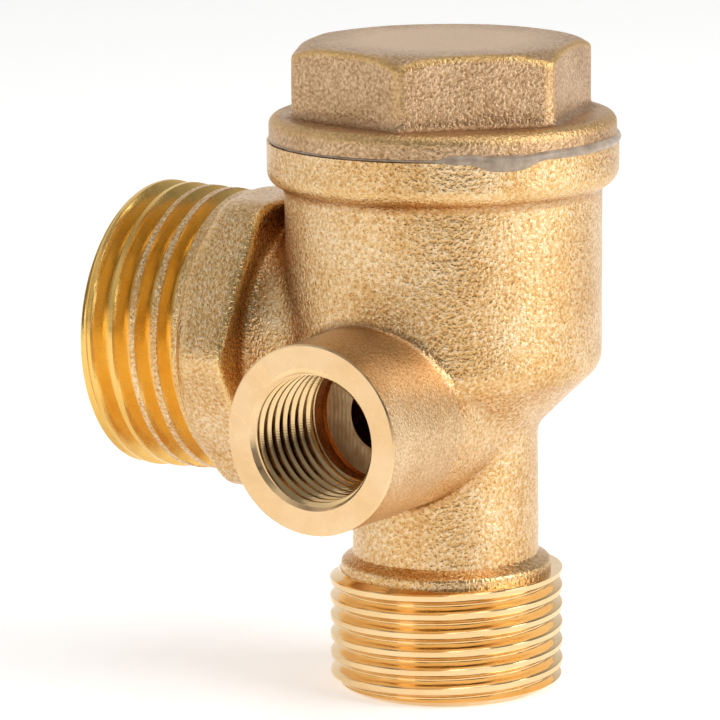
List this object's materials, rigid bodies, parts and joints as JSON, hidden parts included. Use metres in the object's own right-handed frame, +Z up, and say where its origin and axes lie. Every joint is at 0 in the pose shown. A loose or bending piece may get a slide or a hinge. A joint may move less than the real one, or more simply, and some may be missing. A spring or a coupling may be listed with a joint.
{
  "type": "check valve",
  "caption": "Angled check valve: threaded inlet foot, larger threaded side outlet, tapped unloader port and a spring-loaded rubber-faced piston under a hexagonal cap.",
  "frame": {"origin": "middle of the bounding box's bottom, level with the inlet's end face", "axes": "+Z up along the valve axis from the inlet to the cap, -X out of the outlet, -Y out of the unloader port"},
  "size_m": [0.037, 0.0308, 0.0463],
  "materials": {
    "forged_brass": "sandblasted forging, machined threads and faces",
    "cap_brass": "sandblasted forging, duller than the body",
    "cured_sealant": "cured anaerobic sealant, slightly translucent",
    "turned_brass": "turned",
    "nitrile_rubber": "moulded",
    "plated_steel": "zinc plated",
    "spring_steel": "drawn stainless wire"
  },
  "bodies": {
    "housing": {"valve_body": "forged_brass", "hex_cap": "cap_brass", "sealant_bead": "cured_sealant", "return_spring": "spring_steel"},
    "poppet": {"valve_piston": "turned_brass", "seat_disc": "nitrile_rubber", "disc_washer": "plated_steel", "disc_screw": "plated_steel"}
  },
  "joints": [
    {"name": "piston_lift", "type": "slide", "parent": "housing", "child": "poppet", "axis": [0, 0, 1], "range_m": [0, 0.0034], "stiffness_N_per_m": 300, "springref_m": -0.004, "deforming": ["return_spring"]}
  ]
}
